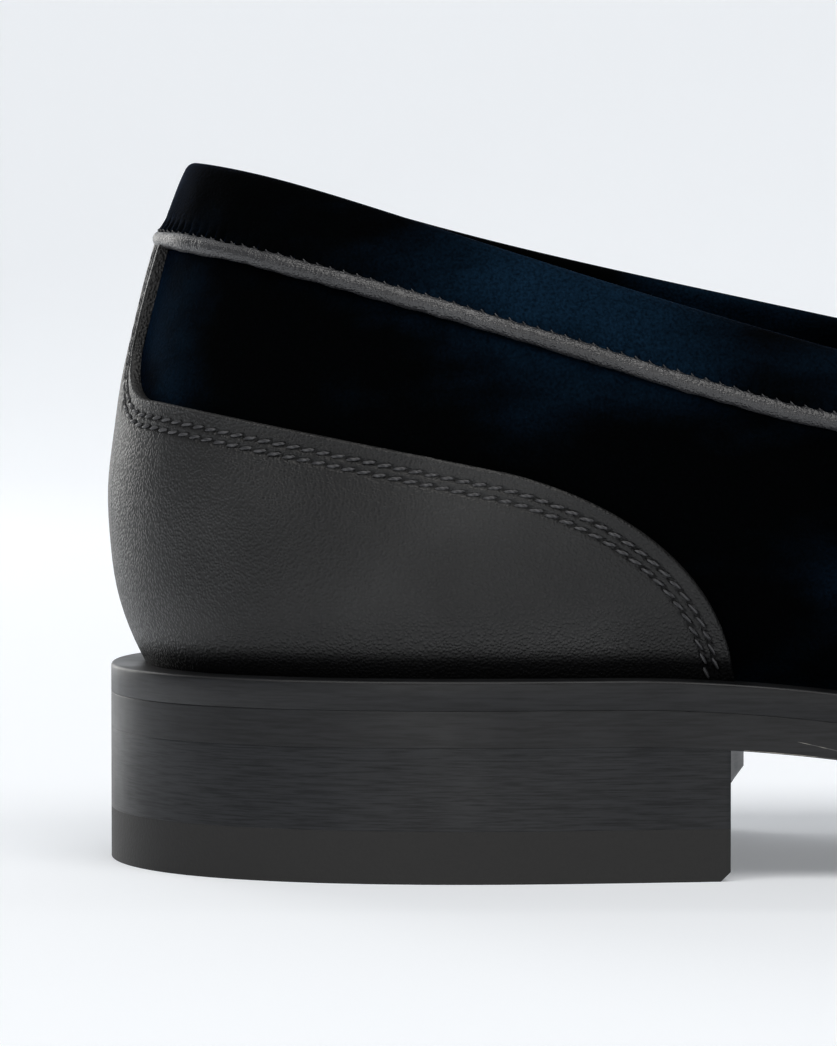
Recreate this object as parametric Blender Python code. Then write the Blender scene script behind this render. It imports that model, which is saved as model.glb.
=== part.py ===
"""Velvet slipper loafer, right shoe, standing on its sole.

The last is a surface between four closed curves: the feather line where the upper meets the
welt, a wall curve, a crown curve and the topline.  Every piece of the upper is cut from that
one surface.  +X runs from heel to toe, -Y is the outer side, +Z is up, the floor is Z = 0.
"""

import math
from collections import namedtuple

import bmesh
import bpy
import numpy as np
from mathutils import Vector

# Driving sizes, in metres.
SOLE_LENGTH = 0.298
BALL_WIDTH = 0.098
BACK_HEIGHT = 0.0586
INSTEP_HEIGHT = 0.072
HEEL_RISE = 0.0154
TOE_SPRING = 0.009
TOP_LIFT_THICKNESS = 0.006
OUTSOLE_THICKNESS = 0.0042
WELT_THICKNESS = 0.0031
WELT_REACH = 0.0053
WELT_SEAT = 0.0026
HEEL_LENGTH = 0.072
HEEL_BREAST_HOLLOW = 0.0012
INNER_CORNER_LEAD = 0.0052
INNER_CORNER_HEIGHT = 0.0079
INSOLE_RISE = 0.0026
WALL = 0.0022
COLLAR_THICKNESS = 0.0011
COLLAR_DEPTH = 0.0085
COLLAR_PUFF = 0.0006
PIPING_DIAMETER = 0.0020
PIPING_STAND = 0.0009
COUNTER_THICKNESS = 0.0009
BACK_STRIP_WIDTH = 0.0124
BACK_STRIP_FILLET = 0.008
GAP = 0.0003
# Two places closer than this count as one.
CLOSE = 1e-5

# How far along the sole the arch starts to fall, and where the forefoot lies flat.
ARCH_START = 0.196 * SOLE_LENGTH
FLAT_START = 0.62 * SOLE_LENGTH
FLAT_END = 0.69 * SOLE_LENGTH
# The upper's height passes from the back height to the instep height between these places.
BACK_PART_END = 0.20 * SOLE_LENGTH
INSTEP_PART_START = 0.50 * SOLE_LENGTH

# along: share of SOLE_LENGTH from the back of the sole.
# outer, inner: share of BALL_WIDTH towards the outer and the inner side.
# up_outer, up_inner: share of the upper's height at that place, above the welt.
Row = namedtuple("Row", "station along outer inner up_outer up_inner")

FEATHER = (
    Row("toe tip", 0.9825, -0.060, 0.060, 0, 0),
    Row("toe corner", 0.957, 0.135, 0.240, 0, 0),
    Row("toe side", 0.885, 0.325, 0.380, 0, 0),
    Row("ball front", 0.775, 0.465, 0.455, 0, 0),
    Row("ball", 0.655, 0.515, 0.465, 0, 0),
    Row("waist front", 0.520, 0.430, 0.345, 0, 0),
    Row("waist", 0.390, 0.315, 0.235, 0, 0),
    Row("heel front", 0.270, 0.264, 0.240, 0, 0),
    Row("heel side", 0.145, 0.305, 0.305, 0, 0),
    Row("heel corner", 0.0495, 0.225, 0.225, 0, 0),
    Row("back", 0.018, 0.000, 0.000, 0, 0),
)
WALL_CURVE = (
    Row("toe tip", 0.992, -0.060, 0.060, 0.33, 0.33),
    Row("toe corner", 0.964, 0.165, 0.275, 0.34, 0.34),
    Row("toe side", 0.889, 0.380, 0.435, 0.35, 0.35),
    Row("ball front", 0.775, 0.520, 0.505, 0.35, 0.35),
    Row("ball", 0.650, 0.565, 0.515, 0.35, 0.35),
    Row("waist front", 0.520, 0.490, 0.410, 0.35, 0.36),
    Row("waist", 0.390, 0.375, 0.325, 0.36, 0.38),
    Row("heel front", 0.270, 0.330, 0.325, 0.33, 0.33),
    Row("heel side", 0.140, 0.370, 0.370, 0.27, 0.27),
    Row("heel corner", 0.0245, 0.262, 0.262, 0.27, 0.27),
    Row("back", -0.0127, 0.000, 0.000, 0.27, 0.27),
)
CROWN_CURVE = (
    Row("toe tip", 0.740, -0.040, 0.040, 0.365, 0.365),
    Row("toe corner", 0.722, 0.150, 0.220, 0.375, 0.375),
    Row("toe side", 0.672, 0.300, 0.330, 0.41, 0.41),
    Row("ball front", 0.600, 0.400, 0.390, 0.455, 0.46),
    Row("ball", 0.530, 0.440, 0.420, 0.495, 0.51),
    Row("waist front", 0.453, 0.430, 0.400, 0.50, 0.53),
    Row("waist", 0.370, 0.390, 0.375, 0.50, 0.53),
    Row("heel front", 0.270, 0.355, 0.350, 0.54, 0.56),
    Row("heel side", 0.150, 0.325, 0.325, 0.60, 0.60),
    Row("heel corner", 0.049, 0.222, 0.222, 0.62, 0.62),
    Row("back", 0.0106, 0.000, 0.000, 0.63, 0.63),
)
TOPLINE = (
    Row("throat centre", 0.510, -0.020, 0.020, 1.000, 1.000),
    Row("throat front", 0.500, 0.100, 0.132, 0.955, 0.957),
    Row("throat side", 0.478, 0.195, 0.215, 0.863, 0.872),
    Row("throat back", 0.448, 0.250, 0.262, 0.752, 0.775),
    Row("low front", 0.413, 0.277, 0.283, 0.650, 0.694),
    Row("low", 0.372, 0.285, 0.290, 0.585, 0.642),
    Row("low back", 0.329, 0.295, 0.295, 0.596, 0.662),
    Row("ankle", 0.268, 0.295, 0.295, 0.660, 0.7247),
    Row("heel side", 0.154, 0.262, 0.262, 0.834, 0.8545),
    Row("heel corner", 0.067, 0.182, 0.182, 0.969, 0.971),
    Row("back", 0.031, 0.000, 0.000, 1.007, 1.007),
)
ROWS_A_SIDE = len(FEATHER) - 1
STATIONS = 2 * ROWS_A_SIDE
BACK = float(ROWS_A_SIDE)

# The top edge of the leather counter, seen from the side: a straight line from the back to the
# knee, then a curve drawn towards two pulls and down to the foot.
# along: share of HEEL_LENGTH.  up: share of BACK_HEIGHT above the welt.
EdgePoint = namedtuple("EdgePoint", "along up")
COUNTER_BACK = EdgePoint(0.095, 0.530)
COUNTER_KNEE = EdgePoint(0.650, 0.398)
COUNTER_PULL_A = EdgePoint(0.806, 0.352)
COUNTER_PULL_B = EdgePoint(0.980, 0.232)
COUNTER_FOOT = EdgePoint(1.006, 0.010)
# How much closer together the edge's points lie near the back, and the degrees round the fillet.
EDGE_CROWDING = 1.6
FILLET_DEGREES = (20, 40, 60, 80)


def smooth_step(share):
    share = min(max(share, 0.0), 1.0)
    return share * share * (3 - 2 * share)


def sole_bottom(x):
    """Height of the outsole's underside: level over the heel, flat at the ball, up at the toe."""
    fall = smooth_step((x - ARCH_START) / (FLAT_START - ARCH_START))
    spring = max(0.0, (x - FLAT_END) / (SOLE_LENGTH - FLAT_END))
    return HEEL_RISE * (1 - fall) + TOE_SPRING * spring**2


def outsole_top(x):
    return sole_bottom(x) + OUTSOLE_THICKNESS


def welt_top(x):
    return outsole_top(x) + GAP + WELT_THICKNESS


def upper_height(x):
    share = smooth_step((x - BACK_PART_END) / (INSTEP_PART_START - BACK_PART_END))
    return BACK_HEIGHT + (INSTEP_HEIGHT - BACK_HEIGHT) * share


def closed_curve(rows):
    """A function of the station number: a smooth closed curve through the rows of a table."""
    points = []
    inner_rows = rows[-2:0:-1]
    for row, side in [(r, -1) for r in rows] + [(r, 1) for r in inner_rows]:
        x = row.along * SOLE_LENGTH
        y = (-row.outer if side < 0 else row.inner) * BALL_WIDTH
        up = row.up_outer if side < 0 else row.up_inner
        points.append((x, y, welt_top(x) + GAP + up * upper_height(x)))
    points = np.array(points)
    count = len(points)
    bends = np.zeros((count, count))
    for i in range(count):
        bends[i, i] = 4
        bends[i, (i + 1) % count] += 1
        bends[i, i - 1] += 1
    pull = 6 * (np.roll(points, -1, 0) - 2 * points + np.roll(points, 1, 0))
    second = np.linalg.solve(bends, pull)

    def at(station):
        i = int(math.floor(station)) % count
        j = (i + 1) % count
        t = station - math.floor(station)
        s = 1 - t
        curve = s * points[i] + t * points[j]
        return curve + ((s**3 - s) * second[i] + (t**3 - t) * second[j]) / 6

    return at


feather_curve = closed_curve(FEATHER)
wall_curve = closed_curve(WALL_CURVE)
crown_curve = closed_curve(CROWN_CURVE)
topline_curve = closed_curve(TOPLINE)


def last_point(station, v):
    """The upper's outer surface: v is 0 at the feather line and 1 at the topline."""
    s = 1 - v
    return (
        s**3 * feather_curve(station)
        + 3 * s * s * v * wall_curve(station)
        + 3 * s * v * v * crown_curve(station)
        + v**3 * topline_curve(station)
    )


def last_normal(station, v):
    step = 1e-3
    low, high = max(v - step, 0), min(v + step, 1)
    along = last_point(station + step, v) - last_point(station - step, v)
    up = last_point(station, high) - last_point(station, low)
    normal = np.cross(up, along)
    return normal / np.linalg.norm(normal)


def on_last(station, v, out):
    """A point that stands out from the surface by a distance, or lies inside it if negative."""
    return last_point(station, v) + out * last_normal(station, v)


def v_below_topline(station, distance):
    """v at a distance below the topline, measured along the surface."""
    steps, reach = 80, 0.6
    walked, here = 0.0, last_point(station, 1.0)
    for k in range(1, steps + 1):
        v = 1 - reach * k / steps
        there = last_point(station, v)
        piece = np.linalg.norm(there - here)
        if walked + piece >= distance:
            return v + reach / steps * (1 - (distance - walked) / piece)
        walked, here = walked + piece, there
    return 1 - reach


def v_above_welt(station, out):
    """v where the offset surface stands clear of the welt."""
    low, high = 0.0, 0.3
    for _ in range(24):
        v = (low + high) / 2
        x, _, z = on_last(station, v, out)
        low, high = (v, high) if z < welt_top(x) + GAP else (low, v)
    return high


def plan_offset(station, out):
    """The feather line in plan, moved outwards by a distance."""
    step = 1e-3
    here = feather_curve(station)
    along = feather_curve(station + step) - feather_curve(station - step)
    sideways = np.array((-along[1], along[0])) / math.hypot(along[0], along[1])
    return here[0] + out * sideways[0], here[1] + out * sideways[1]


def stations_between(first, last, steps):
    return [first + (last - first) * k / steps for k in range(steps)]


# The stations where every piece of the upper has an edge: closer together round the heel.
HEEL_SIDE_STATION = ROWS_A_SIDE - 3
COLUMNS = (
    stations_between(0, HEEL_SIDE_STATION, 24)
    + stations_between(HEEL_SIDE_STATION, STATIONS - HEEL_SIDE_STATION, 36)
    + stations_between(STATIONS - HEEL_SIDE_STATION, STATIONS, 24)
)


def add_object(name, bm, material):
    bmesh.ops.recalc_face_normals(bm, faces=bm.faces)
    mesh = bpy.data.meshes.new(name)
    bm.to_mesh(mesh)
    bm.free()
    mesh.shade_smooth()
    mesh.set_sharp_from_angle(angle=math.radians(35))
    mesh.materials.append(material)
    item = bpy.data.objects.new(name, mesh)
    bpy.context.scene.collection.objects.link(item)
    item.parent = shoe


def loft(name, sections, material, ring):
    """A skin over closed sections: joined end to end in a ring, or with its two ends filled."""
    bm = bmesh.new()
    loops = [[bm.verts.new(Vector(p)) for p in section] for section in sections]
    pairs = list(zip(loops, loops[1:] + loops[:1]))
    if not ring:
        pairs.pop()
        bm.faces.new(loops[0])
        bm.faces.new(loops[-1])
    for one, other in pairs:
        for k in range(len(one)):
            m = (k + 1) % len(one)
            bm.faces.new((one[k], one[m], other[m], other[k]))
    add_object(name, bm, material)


def slab(outline, low, high, cuts_x, cuts_y=()):
    """A flat outline cut across in strips, thickened, and bent so that it follows two heights."""
    bm = bmesh.new()
    bm.faces.new([bm.verts.new((x, y, 0)) for x, y in outline])
    cuts = [((x, 0, 0), (1, 0, 0)) for x in cuts_x] + [((0, y, 0), (0, 1, 0)) for y in cuts_y]
    for place, normal in cuts:
        geometry = bm.verts[:] + bm.edges[:] + bm.faces[:]
        bmesh.ops.bisect_plane(bm, geom=geometry, dist=1e-6, plane_co=place, plane_no=normal)
    lower = bm.verts[:]
    made = bmesh.ops.extrude_face_region(bm, geom=bm.faces[:])["geom"]
    upper = [v for v in made if isinstance(v, bmesh.types.BMVert)]
    for vert in lower:
        vert.co.z = low(vert.co.x)
    for vert in upper:
        vert.co.z = high(vert.co.x)
    return bm


def principled(name, colour, roughness, sheen=0.0):
    material = bpy.data.materials.new(name)
    material.use_nodes = True
    shader = material.node_tree.nodes["Principled BSDF"]
    shader.inputs["Base Color"].default_value = (*colour, 1)
    shader.inputs["Roughness"].default_value = roughness
    shader.inputs["Sheen Weight"].default_value = sheen
    return material


def sole_outline(out):
    return [plan_offset(station, out) for station in COLUMNS]


def strip_cuts():
    steps = 26
    strips = [SOLE_LENGTH * (k + 0.5) / steps for k in range(steps)]
    ends = [ARCH_START, FLAT_START, FLAT_END, HEEL_LENGTH, HEEL_LENGTH + INNER_CORNER_LEAD]
    return sorted(strips + ends)


def make_outsole(material):
    outline = sole_outline(WELT_REACH)
    add_object("outsole", slab(outline, sole_bottom, outsole_top, strip_cuts()), material)


def make_welt(material):
    def underside(x):
        return outsole_top(x) + GAP

    sections = []
    for station in COLUMNS:
        outer = plan_offset(station, WELT_REACH)
        inner = plan_offset(station, -WELT_SEAT)
        section = []
        for (x, y), height in (
            (outer, welt_top),
            (inner, welt_top),
            (inner, underside),
            (outer, underside),
        ):
            section.append((x, y, height(x)))
        sections.append(section)
    loft("welt", sections, material, ring=True)


def make_insole(material):
    bm = slab(
        sole_outline(-WELT_SEAT - GAP),
        lambda x: outsole_top(x) + GAP,
        lambda x: welt_top(x) + INSOLE_RISE,
        strip_cuts(),
    )
    add_object("insole", bm, material)


def heel_outline():
    """The sole's outline back to the heel breast, from outer corner round to inner corner."""
    shortest_side = 0.0005
    edge = sole_outline(WELT_REACH)
    kept = [(x, y) for x, y in edge if x < HEEL_LENGTH - shortest_side]

    def side_at_breast(side):
        near = sorted((abs(x - HEEL_LENGTH), x, y) for x, y in edge if y * side > 0)
        (_, x0, y0), (_, x1, y1) = near[:2]
        return y0 + (y1 - y0) * (HEEL_LENGTH - x0) / (x1 - x0)

    outer, inner = side_at_breast(-1), side_at_breast(1)
    return [(HEEL_LENGTH, outer)] + kept + [(HEEL_LENGTH, inner)], outer, inner


def corner_lead(z):
    """How far the inner corner stands forward: none at the floor, all of it above its height."""
    return INNER_CORNER_LEAD * min(1.0, z / INNER_CORNER_HEIGHT)


def shape_breast(bm, outer, inner):
    """Hollows the front face and carries its inner corner forward."""
    for vert in bm.verts:
        if vert.co.x < HEEL_LENGTH - CLOSE:
            continue
        across = (vert.co.y - outer) / (inner - outer)
        hollow = HEEL_BREAST_HOLLOW * 4 * across * (1 - across)
        vert.co.x += corner_lead(vert.co.z) * across**2 - hollow


def make_heel(block_material, lift_material):
    breast_strips = 6
    outline, outer, inner = heel_outline()
    cuts_y = [outer + (inner - outer) * k / breast_strips for k in range(1, breast_strips)]
    cuts_x = [x for x in strip_cuts() if ARCH_START - CLOSE < x < HEEL_LENGTH]

    def block_top(x):
        return sole_bottom(x) - GAP

    bm = slab(outline, lambda x: TOP_LIFT_THICKNESS + GAP, block_top, cuts_x, cuts_y)
    geometry = bm.verts[:] + bm.edges[:] + bm.faces[:]
    corner = (0, 0, INNER_CORNER_HEIGHT)
    bmesh.ops.bisect_plane(bm, geom=geometry, dist=1e-6, plane_co=corner, plane_no=(0, 0, 1))
    shape_breast(bm, outer, inner)
    for vert in bm.verts:
        if vert.co.z > INNER_CORNER_HEIGHT + CLOSE:
            vert.co.z = block_top(vert.co.x)
    add_object("heel_block", bm, block_material)

    bm = slab(outline, lambda x: 0.0, lambda x: TOP_LIFT_THICKNESS, cuts_x, cuts_y)
    shape_breast(bm, outer, inner)
    add_object("top_lift", bm, lift_material)


def shoulder_depth():
    """Distance below the topline where the quarter stops and the piping lies."""
    return COLLAR_DEPTH + GAP + PIPING_DIAMETER + GAP


def collar_rows(station):
    """v at the collar's lower edge, at its middle and under its fold."""
    return (
        v_below_topline(station, COLLAR_DEPTH),
        v_below_topline(station, COLLAR_DEPTH / 2),
        v_below_topline(station, COLLAR_THICKNESS),
    )


def make_upper(material):
    """One hollow wall: full thickness to the piping, then a thinner leg inside the collar."""
    outer_rows, inner_rows = 13, 11
    leg_face = -(COLLAR_THICKNESS + GAP)
    sections = []
    for station in COLUMNS:
        shoulder = v_below_topline(station, shoulder_depth())
        leg_top = v_below_topline(station, COLLAR_THICKNESS + GAP)
        bottom, middle, _ = collar_rows(station)
        section = [on_last(station, shoulder * k / outer_rows, 0) for k in range(outer_rows + 1)]
        section += [on_last(station, v, leg_face) for v in (shoulder, bottom, middle, leg_top)]
        section += [
            on_last(station, leg_top * (1 - k / inner_rows), -WALL)
            for k in range(inner_rows + 1)
        ]
        sections.append(section)
    loft("upper", sections, material, ring=True)


def make_collar(material):
    """A folded velvet strip that hooks over the top of the upper's inner leg."""
    sections = []
    for station in COLUMNS:
        bottom, middle, fold = collar_rows(station)
        sections.append(
            (
                on_last(station, bottom, COLLAR_PUFF / 2),
                on_last(station, middle, COLLAR_PUFF),
                on_last(station, 1 - (1 - fold) / 2, 0),
                on_last(station, 1, -COLLAR_THICKNESS / 2),
                on_last(station, 1, -WALL + COLLAR_THICKNESS / 3),
                on_last(station, 1 - (1 - fold) / 2, -WALL),
                on_last(station, fold, -WALL),
                on_last(station, fold, -COLLAR_THICKNESS),
                on_last(station, middle, -COLLAR_THICKNESS),
                on_last(station, bottom, -COLLAR_THICKNESS),
            )
        )
    loft("collar", sections, material, ring=True)


def make_piping(material):
    """A leather-wrapped cord that lies in the seam between the collar and the quarters."""
    sides = 8
    radius = PIPING_DIAMETER / 2
    sections = []
    for station in COLUMNS:
        v = v_below_topline(station, COLLAR_DEPTH + GAP + radius)
        centre = on_last(station, v, PIPING_STAND)
        out = last_normal(station, v)
        down = last_point(station, v - 0.01) - last_point(station, v)
        down = down / np.linalg.norm(down)
        section = []
        for k in range(sides):
            angle = 2 * math.pi * k / sides
            section.append(centre + radius * (math.cos(angle) * out + math.sin(angle) * down))
        sections.append(section)
    loft("piping", sections, material, ring=True)


def counter_edge():
    """The counter's top edge as (x, z) pairs, from the back of the heel to the foot."""
    points = (COUNTER_KNEE, COUNTER_PULL_A, COUNTER_PULL_B, COUNTER_FOOT)
    knee, pull_a, pull_b, foot = [
        np.array((p.along * HEEL_LENGTH, welt_top(0) + p.up * BACK_HEIGHT)) for p in points
    ]
    back = np.array((COUNTER_BACK.along * HEEL_LENGTH, welt_top(0) + COUNTER_BACK.up * BACK_HEIGHT))
    straight_steps, curve_steps = 10, 8
    straight = [
        back + (knee - back) * (k / straight_steps) ** EDGE_CROWDING for k in range(straight_steps)
    ]
    curve = []
    for k in range(curve_steps + 1):
        t = k / curve_steps
        s = 1 - t
        curve.append(s**3 * knee + 3 * s * s * t * pull_a + 3 * s * t * t * pull_b + t**3 * foot)
    return straight, curve


def v_at_height(station, z):
    low, high = 0.0, 0.98
    for _ in range(26):
        v = (low + high) / 2
        low, high = (v, high) if last_point(station, v)[2] < z else (low, v)
    return v


def station_where(side, reach, measure, target):
    """The station on one side of the heel, found by walking forward from the back."""
    low, high = 0.0, reach
    for _ in range(26):
        away = (low + high) / 2
        low, high = (away, high) if measure(BACK + side * away) < target else (low, away)
    return BACK + side * away


def counter_tops(side):
    """(station, v) along the counter's top edge, from the back seam to the foot on one side."""
    round_the_back, to_the_foot, least_step = 1.5, 4.0, 0.08

    def shoulder(station):
        return v_below_topline(station, shoulder_depth())

    def half_width(station):
        return abs(last_point(station, shoulder(station))[1])

    edge = station_where(side, round_the_back, half_width, BACK_STRIP_WIDTH / 2)
    tops = [(s, shoulder(s)) for s in (BACK, (BACK + edge) / 2, edge)]
    straight, curve = counter_edge()
    level = straight[0][1]
    for degrees in FILLET_DEGREES:
        angle = math.radians(degrees)
        z = level + BACK_STRIP_FILLET * (1 - math.sin(angle))
        beside = abs(last_point(edge, v_at_height(edge, z))[1])
        wanted = beside + BACK_STRIP_FILLET * (1 - math.cos(angle))
        station = station_where(
            side, round_the_back, lambda s: abs(last_point(s, v_at_height(s, z))[1]), wanted
        )
        tops.append((station, v_at_height(station, z)))
    clear = abs(tops[-1][0] - BACK) + least_step
    for x, z in straight + curve:
        station = station_where(
            side, to_the_foot, lambda s: last_point(s, v_at_height(s, z))[0], x
        )
        if abs(station - BACK) > clear:
            tops.append((station, v_at_height(station, z)))
    return tops


def make_counter(material):
    """The leather heel piece, with a strip up the back seam to the piping."""
    rows = 7
    outer_side, inner_side = counter_tops(-1), counter_tops(1)
    sections = []
    for station, top in outer_side[::-1] + inner_side[1:]:
        section = []
        for out in (GAP + COUNTER_THICKNESS, GAP):
            foot = v_above_welt(station, out)
            face = [foot + (top - foot) * k / rows for k in range(rows + 1)]
            section += [on_last(station, v, out) for v in (face if out > GAP else face[::-1])]
        sections.append(section)
    loft("counter", sections, material, ring=False)


for old in list(bpy.data.objects):
    bpy.data.objects.remove(old)

shoe = bpy.data.objects.new("shoe_origin", None)
bpy.context.scene.collection.objects.link(shoe)

velvet = principled("midnight velvet", (0.004, 0.010, 0.022), 0.85, 0.4)
black_calf = principled("black calf", (0.022, 0.022, 0.024), 0.42)
edge_leather = principled("dyed sole leather", (0.020, 0.020, 0.023), 0.45)
heel_leather = principled("stacked heel leather", (0.018, 0.019, 0.023), 0.45)
heel_rubber = principled("black heel rubber", (0.022, 0.022, 0.021), 0.65)
lining_leather = principled("insole leather", (0.020, 0.018, 0.016), 0.55)

make_heel(heel_leather, heel_rubber)
make_outsole(edge_leather)
make_welt(edge_leather)
make_insole(lining_leather)
make_upper(velvet)
make_collar(velvet)
make_piping(black_calf)
make_counter(black_calf)


def middle(axis):
    places = [vert.co[axis] for item in shoe.children for vert in item.data.vertices]
    return (min(places) + max(places)) / 2


shoe.location = Vector((-middle(0), -middle(1), 0))
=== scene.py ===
import math

import bmesh
import bpy
import numpy as np
from mathutils import Matrix, Vector, kdtree


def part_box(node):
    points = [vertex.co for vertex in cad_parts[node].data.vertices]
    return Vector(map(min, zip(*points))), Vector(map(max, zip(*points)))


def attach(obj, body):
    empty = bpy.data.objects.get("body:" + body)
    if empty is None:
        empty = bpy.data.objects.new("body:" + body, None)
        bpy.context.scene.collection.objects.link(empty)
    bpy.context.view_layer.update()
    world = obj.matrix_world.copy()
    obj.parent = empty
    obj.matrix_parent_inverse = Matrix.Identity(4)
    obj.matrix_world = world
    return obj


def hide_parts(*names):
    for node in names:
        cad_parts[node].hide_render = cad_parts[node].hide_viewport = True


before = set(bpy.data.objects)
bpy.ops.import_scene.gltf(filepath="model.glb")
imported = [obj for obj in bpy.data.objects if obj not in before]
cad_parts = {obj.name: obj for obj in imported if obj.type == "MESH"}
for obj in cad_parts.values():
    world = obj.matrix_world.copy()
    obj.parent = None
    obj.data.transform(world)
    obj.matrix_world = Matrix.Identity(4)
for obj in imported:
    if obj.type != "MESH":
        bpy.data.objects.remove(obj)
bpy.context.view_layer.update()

mm = 0.001

# The last, from the back of the heel (x = 0) to the toe.  Lengths in metres.
last = {
    "soleLength": 298 * mm,
    "ballWidth": 98 * mm,
    "backHeight": 58.6 * mm,
    "instepHeight": 72 * mm,
    "heelRise": 15.4 * mm,
    "toeSpring": 9 * mm,
    "liftThickness": 6 * mm,
    "outsoleThickness": 4.2 * mm,
    "weltThickness": 3.1 * mm,
    "weltReach": 5.3 * mm,
    "weltSeat": 2.6 * mm,
    "heelLength": 72 * mm,
    "insoleRise": 2.6 * mm,
    "wall": 2.2 * mm,
    "gap": 0.3 * mm,
    "archStart": 0.196,  # these five are shares of soleLength
    "flatStart": 0.62,
    "flatEnd": 0.69,
    "backPartEnd": 0.20,
    "instepPartStart": 0.50,
}

# Each row: share of soleLength, shares of ballWidth to the outer and the inner side, and shares
# of the upper's height on those sides.  Rows run from the toe back to the heel.
featherRows = (
    (0.9825, -0.060, 0.060, 0, 0),
    (0.957, 0.135, 0.240, 0, 0),
    (0.885, 0.325, 0.380, 0, 0),
    (0.775, 0.465, 0.455, 0, 0),
    (0.655, 0.515, 0.465, 0, 0),
    (0.520, 0.430, 0.345, 0, 0),
    (0.390, 0.315, 0.235, 0, 0),
    (0.270, 0.264, 0.240, 0, 0),
    (0.145, 0.305, 0.305, 0, 0),
    (0.0495, 0.225, 0.225, 0, 0),
    (0.018, 0.000, 0.000, 0, 0),
)
wallRows = (
    (0.992, -0.060, 0.060, 0.33, 0.33),
    (0.964, 0.165, 0.275, 0.34, 0.34),
    (0.889, 0.380, 0.435, 0.35, 0.35),
    (0.775, 0.520, 0.505, 0.35, 0.35),
    (0.650, 0.565, 0.515, 0.35, 0.35),
    (0.520, 0.490, 0.410, 0.35, 0.36),
    (0.390, 0.375, 0.325, 0.36, 0.38),
    (0.270, 0.330, 0.325, 0.33, 0.33),
    (0.140, 0.370, 0.370, 0.27, 0.27),
    (0.0245, 0.262, 0.262, 0.27, 0.27),
    (-0.0127, 0.000, 0.000, 0.27, 0.27),
)
crownRows = (
    (0.740, -0.040, 0.040, 0.365, 0.365),
    (0.722, 0.150, 0.220, 0.375, 0.375),
    (0.672, 0.300, 0.330, 0.41, 0.41),
    (0.600, 0.400, 0.390, 0.455, 0.46),
    (0.530, 0.440, 0.420, 0.495, 0.51),
    (0.453, 0.430, 0.400, 0.50, 0.53),
    (0.370, 0.390, 0.375, 0.50, 0.53),
    (0.270, 0.355, 0.350, 0.54, 0.56),
    (0.150, 0.325, 0.325, 0.60, 0.60),
    (0.049, 0.222, 0.222, 0.62, 0.62),
    (0.0106, 0.000, 0.000, 0.63, 0.63),
)
toplineRows = (
    (0.510, -0.020, 0.020, 1.000, 1.000),
    (0.500, 0.100, 0.132, 0.955, 0.957),
    (0.478, 0.195, 0.215, 0.863, 0.872),
    (0.448, 0.250, 0.262, 0.752, 0.775),
    (0.413, 0.277, 0.283, 0.650, 0.694),
    (0.372, 0.285, 0.290, 0.585, 0.642),
    (0.329, 0.295, 0.295, 0.596, 0.662),
    (0.268, 0.295, 0.295, 0.660, 0.7247),
    (0.154, 0.262, 0.262, 0.834, 0.8545),
    (0.067, 0.182, 0.182, 0.969, 0.971),
    (0.031, 0.000, 0.000, 1.007, 1.007),
)
backStation = float(len(featherRows) - 1)
stationCount = 2 * (len(featherRows) - 1)


def smoothStep(share):
    share = np.clip(share, 0, 1)
    return share * share * (3 - 2 * share)


def soleBottom(x):
    start, end = last["archStart"] * last["soleLength"], last["flatStart"] * last["soleLength"]
    flatEnd = last["flatEnd"] * last["soleLength"]
    fall = smoothStep((x - start) / (end - start))
    spring = np.maximum(0, (x - flatEnd) / (last["soleLength"] - flatEnd))
    return last["heelRise"] * (1 - fall) + last["toeSpring"] * spring**2


def outsoleTop(x):
    return soleBottom(x) + last["outsoleThickness"]


def weltTop(x):
    return outsoleTop(x) + last["gap"] + last["weltThickness"]


def upperHeight(x):
    start = last["backPartEnd"] * last["soleLength"]
    end = last["instepPartStart"] * last["soleLength"]
    rise = smoothStep((x - start) / (end - start))
    return last["backHeight"] + (last["instepHeight"] - last["backHeight"]) * rise


def closedCurve(rows):
    outer = [(r[0], -r[1], r[3]) for r in rows]
    inner = [(r[0], r[2], r[4]) for r in rows[-2:0:-1]]
    shares = np.array(outer + inner)
    x = shares[:, 0] * last["soleLength"]
    height = weltTop(x) + last["gap"] + shares[:, 2] * upperHeight(x)
    points = np.stack([x, shares[:, 1] * last["ballWidth"], height], 1)
    count = len(points)
    bends = 4 * np.eye(count) + np.roll(np.eye(count), 1, 0) + np.roll(np.eye(count), -1, 0)
    pull = 6 * (np.roll(points, -1, 0) - 2 * points + np.roll(points, 1, 0))
    second = np.linalg.solve(bends, pull)

    def at(station):
        station = np.asarray(station, float)
        whole = np.floor(station)
        t = (station - whole)[..., None]
        i = whole.astype(int) % count
        j = (i + 1) % count
        s = 1 - t
        bend = (s**3 - s) * second[i] + (t**3 - t) * second[j]
        return s * points[i] + t * points[j] + bend / 6

    return at


featherCurve = closedCurve(featherRows)
wallCurve = closedCurve(wallRows)
crownCurve = closedCurve(crownRows)
toplineCurve = closedCurve(toplineRows)


def lastPoint(station, v):  # v is 0 at the feather line and 1 at the topline
    v = np.asarray(v, float)[..., None]
    s = 1 - v
    low = s**3 * featherCurve(station) + 3 * s * s * v * wallCurve(station)
    return low + 3 * s * v * v * crownCurve(station) + v**3 * toplineCurve(station)


def unit(vectors):
    return vectors / np.linalg.norm(vectors, axis=-1, keepdims=True)


def lastNormal(station, v):
    step = 1e-3
    along = lastPoint(station + step, v) - lastPoint(station - step, v)
    up = lastPoint(station, np.minimum(v + step, 1)) - lastPoint(station, np.maximum(v - step, 0))
    return unit(np.cross(up, along))


def onLast(station, v, out):
    out = np.asarray(out, float)[..., None]
    return lastPoint(station, v) + out * lastNormal(station, v)


def downwards(station, v):  # the direction over the surface, towards the feather line
    return unit(lastPoint(station, v - 0.01) - lastPoint(station, v))


def walkedAlong(line):  # the length from the start of the line to each of its points
    return np.concatenate([[0], np.cumsum(np.linalg.norm(np.diff(line, axis=0), axis=1))])


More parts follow.
